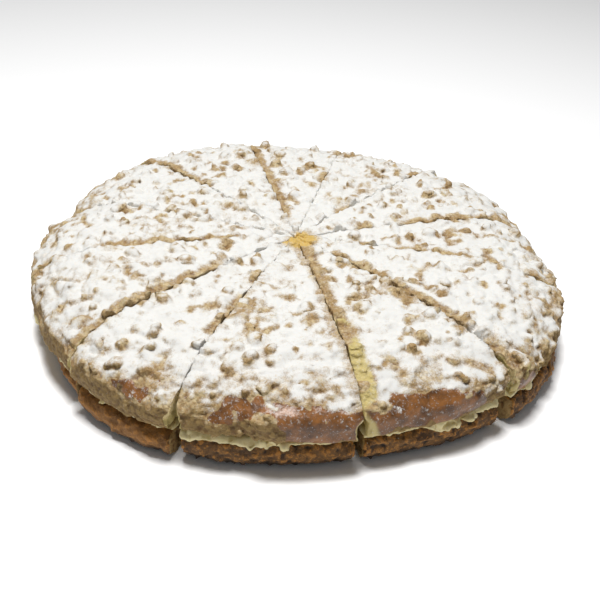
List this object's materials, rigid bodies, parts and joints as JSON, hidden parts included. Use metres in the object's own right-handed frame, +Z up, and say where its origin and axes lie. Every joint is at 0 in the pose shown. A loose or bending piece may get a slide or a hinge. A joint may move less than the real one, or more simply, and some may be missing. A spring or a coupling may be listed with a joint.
{
  "type": "streusel pastry",
  "caption": "Round streusel pastry, split and filled with cream, dusted with powdered sugar, and cut into wedge slices that still stand together.",
  "frame": {"origin": "the middle of the outline on the surface that the pastry stands on", "axes": "+Z up, out of the streusel; the widest cut opens towards -Y, a little to +X"},
  "size_m": [0.2782, 0.2792, 0.0473],
  "materials": {
    "sponge_base": "matte, baked yeast dough with a browned rim and a crumbly cut face",
    "cream": "soft pale yellow custard cream, slightly moist",
    "streusel_top": "matte, golden streusel crumbs under a coat of powdered sugar"
  },
  "bodies": {
    "root": {"base_slice_01": "sponge_base", "base_slice_02": "sponge_base", "base_slice_03": "sponge_base", "base_slice_04": "sponge_base", "base_slice_05": "sponge_base", "base_slice_06": "sponge_base", "base_slice_07": "sponge_base", "base_slice_08": "sponge_base", "base_slice_09": "sponge_base", "base_slice_10": "sponge_base", "base_slice_11": "sponge_base", "base_slice_12": "sponge_base", "cream_slice_01": "cream", "cream_slice_02": "cream", "cream_slice_03": "cream", "cream_slice_04": "cream", "cream_slice_05": "cream", "cream_slice_06": "cream", "cream_slice_07": "cream", "cream_slice_08": "cream", "cream_slice_09": "cream", "cream_slice_10": "cream", "cream_slice_11": "cream", "cream_slice_12": "cream", "top_slice_01": "streusel_top", "top_slice_02": "streusel_top", "top_slice_03": "streusel_top", "top_slice_04": "streusel_top", "top_slice_05": "streusel_top", "top_slice_06": "streusel_top", "top_slice_07": "streusel_top", "top_slice_08": "streusel_top", "top_slice_09": "streusel_top", "top_slice_10": "streusel_top", "top_slice_11": "streusel_top", "top_slice_12": "streusel_top"}
  },
  "joints": []
}
